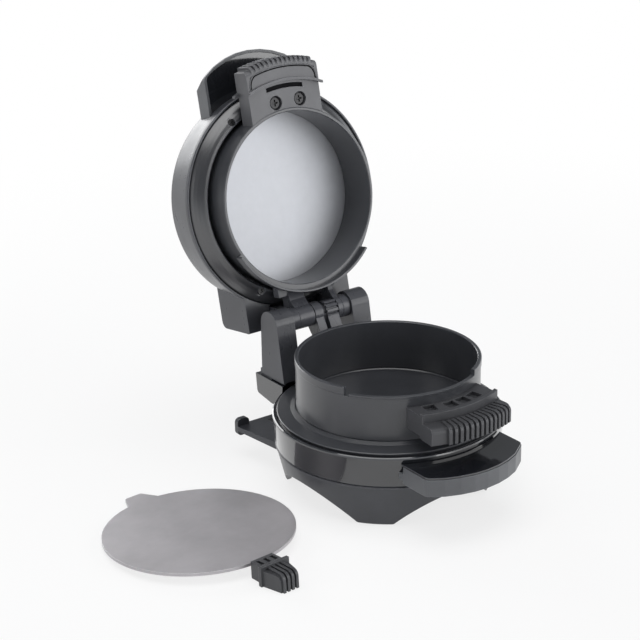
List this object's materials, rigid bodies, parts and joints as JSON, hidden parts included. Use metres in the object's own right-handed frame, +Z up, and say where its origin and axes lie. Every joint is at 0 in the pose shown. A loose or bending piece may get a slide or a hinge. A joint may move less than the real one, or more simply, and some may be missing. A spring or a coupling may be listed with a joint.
{
  "type": "breakfast sandwich maker",
  "caption": "Round countertop sandwich maker standing open: hinged lid, two cooking rings with ribbed handles, footed base and a loose cooking plate.",
  "frame": {"origin": "on the table, under the middle of the two cooking rings", "axes": "+Z up, handles towards -Y, hinge towards +Y with its pin along X"},
  "size_m": [0.2513, 0.2345, 0.2356],
  "materials": {
    "casing_gloss": "glossy near-black moulded plastic",
    "casing_satin": "fine-grained charcoal plastic",
    "grip_satin": "satin charcoal heat-proof plastic",
    "handle_light": "satin mid-grey plastic",
    "nonstick": "dark satin non-stick coating on cast aluminium",
    "lid_plate": "satin grey coating that mirrors the light",
    "loose_plate": "satin grey non-stick coating on sheet metal",
    "hinge_dark": "dark satin heat-proof plastic",
    "pin_steel": "bright drawn steel",
    "screw_dark": "black zinc-plated steel",
    "screw_bright": "bright zinc-plated steel",
    "rubber_black": "matt black rubber",
    "heater_steel": "heat-tinted steel sheath",
    "shield_metal": "bright rolled sheet",
    "shield_steel": "aluminised sheet steel",
    "cover_metal": "satin black painted sheet steel",
    "ceramic": "cream heat-proof moulding",
    "wire_red": "silicone insulation",
    "lens_red": "clear red moulded lens",
    "lens_green": "clear green moulded lens"
  },
  "bodies": {
    "base": {"base_body": "casing_gloss", "base_skirt": "casing_satin", "base_bottom_cover": "cover_metal", "base_handle": "handle_light", "base_handle_cover": "casing_gloss", "base_heating_plate": "nonstick", "base_heating_element": "heater_steel", "base_thermostat": "ceramic", "base_heat_shield": "shield_steel", "base_screws": "screw_bright", "rubber_feet": "rubber_black", "thermal_fuse": "ceramic", "terminal_block": "ceramic", "inner_wires": "wire_red", "cord_gland": "rubber_black", "cord_horns": "casing_satin", "hinge_stand": "casing_satin", "hinge_pin": "pin_steel"},
    "bottom_ring_leaf": {"bottom_ring": "nonstick", "bottom_ring_bracket": "hinge_dark", "bottom_ring_handle": "grip_satin", "bottom_ring_screws": "screw_dark"},
    "top_ring_leaf": {"top_ring": "nonstick", "top_ring_bracket": "hinge_dark", "top_ring_handle": "grip_satin", "top_ring_screws": "screw_dark"},
    "lid": {"lid_shell": "casing_satin", "lid_bezel": "casing_gloss", "lid_heating_plate": "lid_plate", "lid_heating_element": "heater_steel", "lid_thermostat": "ceramic", "lid_heat_shield": "shield_metal", "lid_handle": "handle_light", "lid_handle_cover": "casing_gloss", "lid_hinge_arms": "hinge_dark", "lid_screws": "screw_dark", "power_lens": "lens_red", "ready_lens": "lens_green"},
    "loose_plate": {"cooking_plate": "loose_plate", "plate_handle": "grip_satin", "plate_rivets": "screw_bright"}
  },
  "joints": [
    {"name": "bottom_ring_lift", "type": "hinge", "parent": "base", "child": "bottom_ring_leaf", "pos_m": [0, 0.071, 0.084], "axis": [1, 0, 0], "range_deg": [-15, 0]},
    {"name": "top_ring_close", "type": "hinge", "parent": "bottom_ring_leaf", "child": "top_ring_leaf", "pos_m": [0, 0.071, 0.084], "axis": [1, 0, 0], "range_deg": [0, 102.8]},
    {"name": "lid_tilt", "type": "hinge", "parent": "top_ring_leaf", "child": "lid", "pos_m": [0, 0.071, 0.084], "axis": [1, 0, 0], "range_deg": [-10, 0]},
    {"name": "plate_lift", "type": "slide", "parent": "base", "child": "loose_plate", "axis": [0, 0, 1], "range_m": [0, 0.06]}
  ]
}
